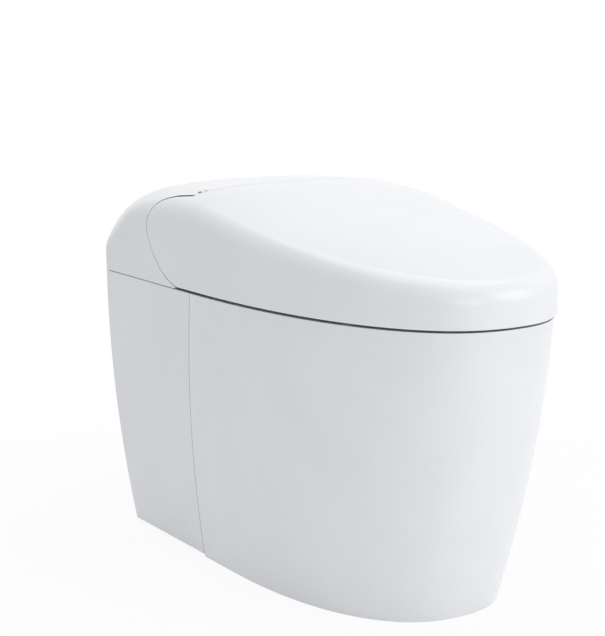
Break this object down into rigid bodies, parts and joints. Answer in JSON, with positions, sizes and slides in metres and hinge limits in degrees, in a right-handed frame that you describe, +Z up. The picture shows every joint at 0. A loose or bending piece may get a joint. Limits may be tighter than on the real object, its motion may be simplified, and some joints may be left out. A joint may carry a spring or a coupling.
{
  "type": "smart toilet with heated seat",
  "caption": "Floor-standing electronic toilet: skirted ceramic bowl, heated seat, swinging lid, sliding spray wand, warm-air dryer and pump flush.",
  "frame": {"origin": "on the floor, under the middle of the outer size", "axes": "+Z up, -Y towards the front of the bowl, +X to the right when seen from the front looking back"},
  "size_m": [0.39, 0.7, 0.5222],
  "materials": {
    "china": "glazed",
    "white_shell": "gloss",
    "white_seat": "gloss",
    "grey_plastic": "moulded",
    "dark_plastic": "moulded",
    "natural_plastic": "moulded",
    "soft_rubber": "soft",
    "black_rubber": "soft",
    "steel": "brushed",
    "zinc_plate": "satin",
    "brass_part": "machined",
    "heating_foil": "film",
    "board_green": "coated",
    "smoked_lens": "gloss",
    "clear_lens": "clear",
    "black_charcoal": "granular"
  },
  "bodies": {
    "base": {"ceramic_body": "china", "side_panel_left": "white_shell", "side_panel_right": "white_shell", "panel_clips": "natural_plastic", "rear_cover": "grey_plastic", "outlet_seal": "black_rubber", "flush_tank": "natural_plastic", "flush_pump": "dark_plastic", "jet_hose": "soft_rubber", "rim_hose": "soft_rubber", "rim_nozzle": "natural_plastic", "inlet_valve": "natural_plastic", "water_inlet": "brass_part", "base_plate": "grey_plastic", "plate_screws": "steel", "water_heater": "natural_plastic", "valve_block": "natural_plastic", "power_supply": "dark_plastic", "board_tray": "grey_plastic", "control_board": "board_green", "cord_gland": "dark_plastic", "dryer_housing": "natural_plastic", "dryer_duct": "natural_plastic", "dryer_motor": "steel", "odour_housing": "natural_plastic", "carbon_cartridge": "black_charcoal", "hinge_bracket_left": "zinc_plate", "hinge_bracket_right": "zinc_plate", "hinge_shaft_left": "steel", "hinge_shaft_right": "steel", "lid_damper": "dark_plastic", "seat_damper": "dark_plastic", "button_holder": "grey_plastic", "receiver_window": "smoked_lens", "status_lamp": "clear_lens", "night_light": "clear_lens", "wand_guide": "natural_plastic", "wand_motor": "dark_plastic", "upper_casing": "white_shell"},
    "seat": {"seat_shell": "white_seat", "seat_base": "white_seat", "seat_heater": "heating_foil", "seat_buffers": "soft_rubber"},
    "lid": {"lid_shell": "white_shell", "lid_liner": "white_shell", "lid_buffers": "soft_rubber"},
    "wand": {"spray_wand": "steel", "wand_tip": "white_seat"},
    "pinion": {"wand_pinion": "natural_plastic"},
    "dryer_door": {"dryer_flap": "white_seat"},
    "dryer_wheel": {"dryer_impeller": "dark_plastic"},
    "odour_wheel": {"odour_fan": "dark_plastic"},
    "flush_key": {"flush_button": "white_shell"},
    "stop_key": {"stop_button": "white_shell"}
  },
  "joints": [
    {"name": "seat_hinge", "type": "hinge", "parent": "base", "child": "seat", "pos_m": [0, 0.11, 0.502], "axis": [-1, 0, 0], "range_deg": [0, 97]},
    {"name": "lid_hinge", "type": "hinge", "parent": "seat", "child": "lid", "pos_m": [0, 0.11, 0.502], "axis": [1, 0, 0], "range_deg": [-97, 0]},
    {"name": "wand_slide", "type": "slide", "parent": "base", "child": "wand", "axis": [0, -0.9063, -0.4226], "range_m": [0, 0.11]},
    {"name": "pinion_turn", "type": "hinge", "parent": "base", "child": "pinion", "pos_m": [0, 0.09698, 0.42688], "axis": [-1, 0, 0], "range_deg": [0, 1055]},
    {"name": "dryer_door_hinge", "type": "hinge", "parent": "base", "child": "dryer_door", "pos_m": [0.05, 0.066, 0.414], "axis": [-1, 0, 0], "range_deg": [0, 60], "stiffness_Nm_per_rad": 0.002},
    {"name": "dryer_spin", "type": "hinge", "parent": "base", "child": "dryer_wheel", "pos_m": [0.062, 0.186, 0.4202], "axis": [1, 0, 0], "continuous": true},
    {"name": "odour_spin", "type": "hinge", "parent": "base", "child": "odour_wheel", "pos_m": [-0.058, 0.112, 0.4], "axis": [0, 0, 1], "continuous": true},
    {"name": "flush_press", "type": "slide", "parent": "base", "child": "flush_key", "axis": [-1, 0, 0], "range_m": [0, 0.0018], "stiffness_N_per_m": 400},
    {"name": "stop_press", "type": "slide", "parent": "base", "child": "stop_key", "axis": [-1, 0, 0], "range_m": [0, 0.0018], "stiffness_N_per_m": 400}
  ],
  "couplings": [
    {"joint": "pinion_turn", "follows": "wand_slide", "rad_per_m": 166.67}
  ]
}
